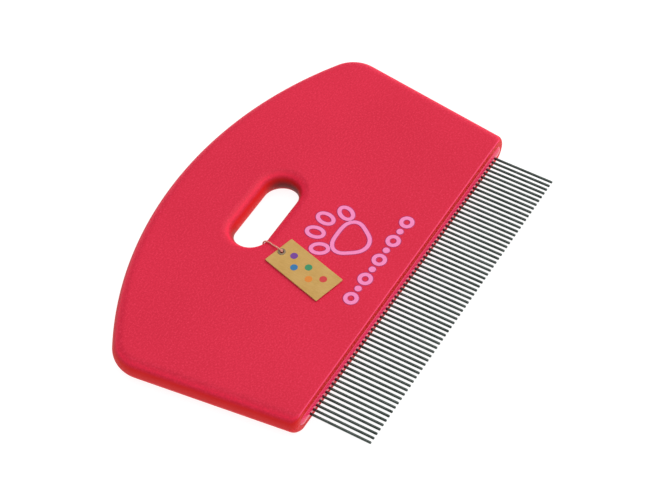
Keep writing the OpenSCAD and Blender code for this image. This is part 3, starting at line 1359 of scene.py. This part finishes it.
    def spots(self) -> list[bpy.types.Object]:
        """Returns the plain coloured spots printed on the card."""
        pieces: list[bpy.types.Object] = []
        for i, ink in enumerate(SPOT_INKS):
            spot, radius = ClosedMesh(), self.spot_radius
            out = self.card_start + self.spot_start * self.length + self.spot_pitch * i
            rims = ((radius, self.card_top), (radius - self.spot_soft, self.card_top + self.spot_height))
            centre = (self.spot_sway * (-1) ** i, out)
            spot.skin_and_cap([self.add_level(spot, circle(centre, r, self.spot_steps), z) for r, z in rims])
            piece = spot.to_object(f"card_spot_{i + 1}", self.drafting, Shading.CREASED)
            place_piece(piece, ink.make(), Body.TAG, "card_kraft")
            pieces.append(piece)
        return pieces

    def string(self) -> bpy.types.Object:
        """Returns the twisted string with its knot."""
        thread = self.twisted(self.route())
        thread.join(self.knot())
        piece = thread.to_object("twisted_string", self.drafting, Shading.ROUND)
        place_piece(piece, THREAD.make(), Body.TAG, "string_salmon", "tag_string")
        return piece

    def anchor(self) -> bpy.types.Object:
        """Dresses the anchored end, which keeps its own form."""
        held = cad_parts["tag_anchor"]
        dress(held, THREAD.make())
        return held

    def build(self) -> list[bpy.types.Object]:
        """Makes the tag's pieces."""
        return [self.card(), *self.spots(), self.eyelet(), self.string(), self.anchor()]


# --- Placing and the studio ---


def dress(piece: bpy.types.Object, material: bpy.types.Material) -> None:
    """Gives a piece one material all over."""
    if not piece.data.materials:
        piece.data.materials.append(material)
    for slot in piece.material_slots:
        slot.material = material


def place_piece(
    piece: bpy.types.Object, material: bpy.types.Material, body: Body, finish_slot: str, *nodes: str
) -> None:
    """Dresses a new piece and puts it on its body in place of plain nodes.

    Args:
        piece: The new piece.
        material: Its material.
        body: The body that it moves with.
        finish_slot: Not used; the record's slot that its finish belongs to.
        *nodes: The plain nodes that it stands for.
    """
    piece.data.materials.clear()
    piece.data.materials.append(material)
    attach(piece, body.value)
    if nodes:
        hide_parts(*nodes)


@dataclass
class Studio:
    """A pale floor, soft light from the far right and above, and the camera."""

    azimuth_deg: float = -55.65
    elevation_deg: float = 51.64
    roll_deg: float = -3.96
    distance: float = 0.4698
    aim: Point3 = (-0.00095, -0.00349, 0.003)
    lens_mm: float = 116.31
    sensor_mm: float = 36.0
    clip_m: Span = (0.01, 20.0)
    floor_half: float = 3.0
    floor_drop: float = 0.00005
    floor_tone: Colour = (0.25, 0.25, 0.25)
    floor_shade: Colour = (0.24, 0.24, 0.24)
    floor_glow: float = 0.9
    lit_side: Point3 = (0.75, -0.5, 0.8)
    sky: Span = (0.3, 0.9)
    sky_turn: Span = (-0.2, 1.0)
    light_distance: float = 0.9
    key_size: float = 0.6
    key_power: float = 2.6
    top_size: float = 0.9
    top_power: float = 2.0

    def camera(self) -> bpy.types.Object:
        """Returns the camera, turned and rolled towards the comb."""
        azimuth, tilt = math.radians(self.azimuth_deg), math.radians(self.elevation_deg)
        level = math.cos(tilt)
        ahead = Vector((-math.sin(azimuth) * level, math.cos(azimuth) * level, -math.sin(tilt)))
        right = Vector((math.cos(azimuth), math.sin(azimuth), 0.0))
        up = right.cross(ahead)
        roll = math.radians(self.roll_deg)
        across = math.cos(roll) * right + math.sin(roll) * up
        above = math.cos(roll) * up - math.sin(roll) * right
        data = bpy.data.cameras.new("camera")
        data.lens = self.lens_mm
        data.sensor_width = self.sensor_mm
        data.clip_start, data.clip_end = self.clip_m
        camera = bpy.data.objects.new("camera", data)
        turned = Matrix((across, above, -ahead)).transposed()
        camera.matrix_world = Matrix.Translation(Vector(self.aim) - ahead * self.distance) @ turned.to_4x4()
        bpy.context.scene.collection.objects.link(camera)
        bpy.context.scene.camera = camera
        return camera

    def floor(self) -> bpy.types.Object:
        """Returns the pale floor that the comb lies on."""
        mesh, half = bpy.data.meshes.new("floor"), self.floor_half
        corners = [(-half, -half, 0), (half, -half, 0), (half, half, 0), (-half, half, 0)]
        mesh.from_pydata(corners, [], [(0, 1, 2, 3)])
        floor = bpy.data.objects.new("floor", mesh)
        floor.location.z = -self.floor_drop
        bpy.context.scene.collection.objects.link(floor)
        bench = NodeBench("pale_floor")
        bench.colour(bench.blend(bench.noise(Grain(3.0)), self.floor_tone, self.floor_shade))
        bench.fixed(Roughness=0.9, Specular_IOR_Level=0.1, Emission_Strength=self.floor_glow)
        bench.shader.inputs["Emission Color"].default_value = (1, 1, 1, 1)
        mesh.materials.append(bench.material)
        return floor

    def softbox(self, name: str, direction: Point3, size: float, power: float) -> bpy.types.Object:
        """Returns a square soft light aimed at the comb.

        Args:
            name: The light's name.
            direction: Where it stands, seen from the comb.
            size: Its side, in metres.
            power: Its power, in watts.
        """
        data = bpy.data.lights.new(name, "AREA")
        data.shape, data.size, data.energy = "SQUARE", size, power
        light = bpy.data.objects.new(name, data)
        towards = Vector(direction).normalized()
        light.location = towards * self.light_distance
        light.rotation_mode = "QUATERNION"
        light.rotation_quaternion = towards.to_track_quat("Z", "Y")
        bpy.context.scene.collection.objects.link(light)
        return light

    def surroundings(self) -> None:
        """Sets the light that comes from all round: bright on the lit side, dim on the other."""
        world = bpy.data.worlds.new("studio")
        world.use_nodes = True
        tree = world.node_tree
        ground = tree.nodes["Background"]
        ground.inputs["Color"].default_value = (1, 1, 1, 1)
        place = tree.nodes.new("ShaderNodeTexCoord")
        facing = tree.nodes.new("ShaderNodeVectorMath")
        facing.operation = "DOT_PRODUCT"
        facing.inputs[1].default_value = Vector(self.lit_side).normalized()
        ramp = tree.nodes.new("ShaderNodeMapRange")
        ramp.inputs["From Min"].default_value, ramp.inputs["From Max"].default_value = self.sky_turn
        ramp.inputs["To Min"].default_value, ramp.inputs["To Max"].default_value = self.sky
        tree.links.new(place.outputs["Generated"], facing.inputs[0])
        tree.links.new(facing.outputs["Value"], ramp.inputs["Value"])
        tree.links.new(ramp.outputs["Result"], ground.inputs["Strength"])
        bpy.context.scene.world = world
        bpy.context.scene.view_settings.view_transform = "Standard"

    def build(self) -> None:
        """Sets up the camera, the floor and the lights."""
        self.camera()
        self.floor()
        self.surroundings()
        self.softbox("key", self.lit_side, self.key_size, self.key_power)
        self.softbox("overhead", (0.0, 0.0, 1.0), self.top_size, self.top_power)


def report(name: str, pieces: Sequence[bpy.types.Object]) -> None:
    """Logs each piece of a sub-assembly."""
    for piece in pieces:
        LOG.info("%s: %s, %d faces", name, piece.name, len(piece.data.polygons))


def main() -> None:
    """Builds the comb's sub-assemblies in order, then the studio round them."""
    logging.basicConfig(level=logging.INFO, format="%(message)s")
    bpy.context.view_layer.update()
    plan, drafting = HandlePlan(), Drafting()
    assemblies: list[tuple[str, Callable[[], list[bpy.types.Object]]]] = [
        ("handle", HandleShells(plan, drafting).build),
        ("core", CoreMoulding().build),
        ("pins", PinRow(drafting).build),
        ("motif", PawMotif(drafting).build),
        ("tag", SwingTag(plan, drafting).build),
    ]
    for name, build in assemblies:
        report(name, build())
    Studio().build()


if __name__ == "__main__":
    main()
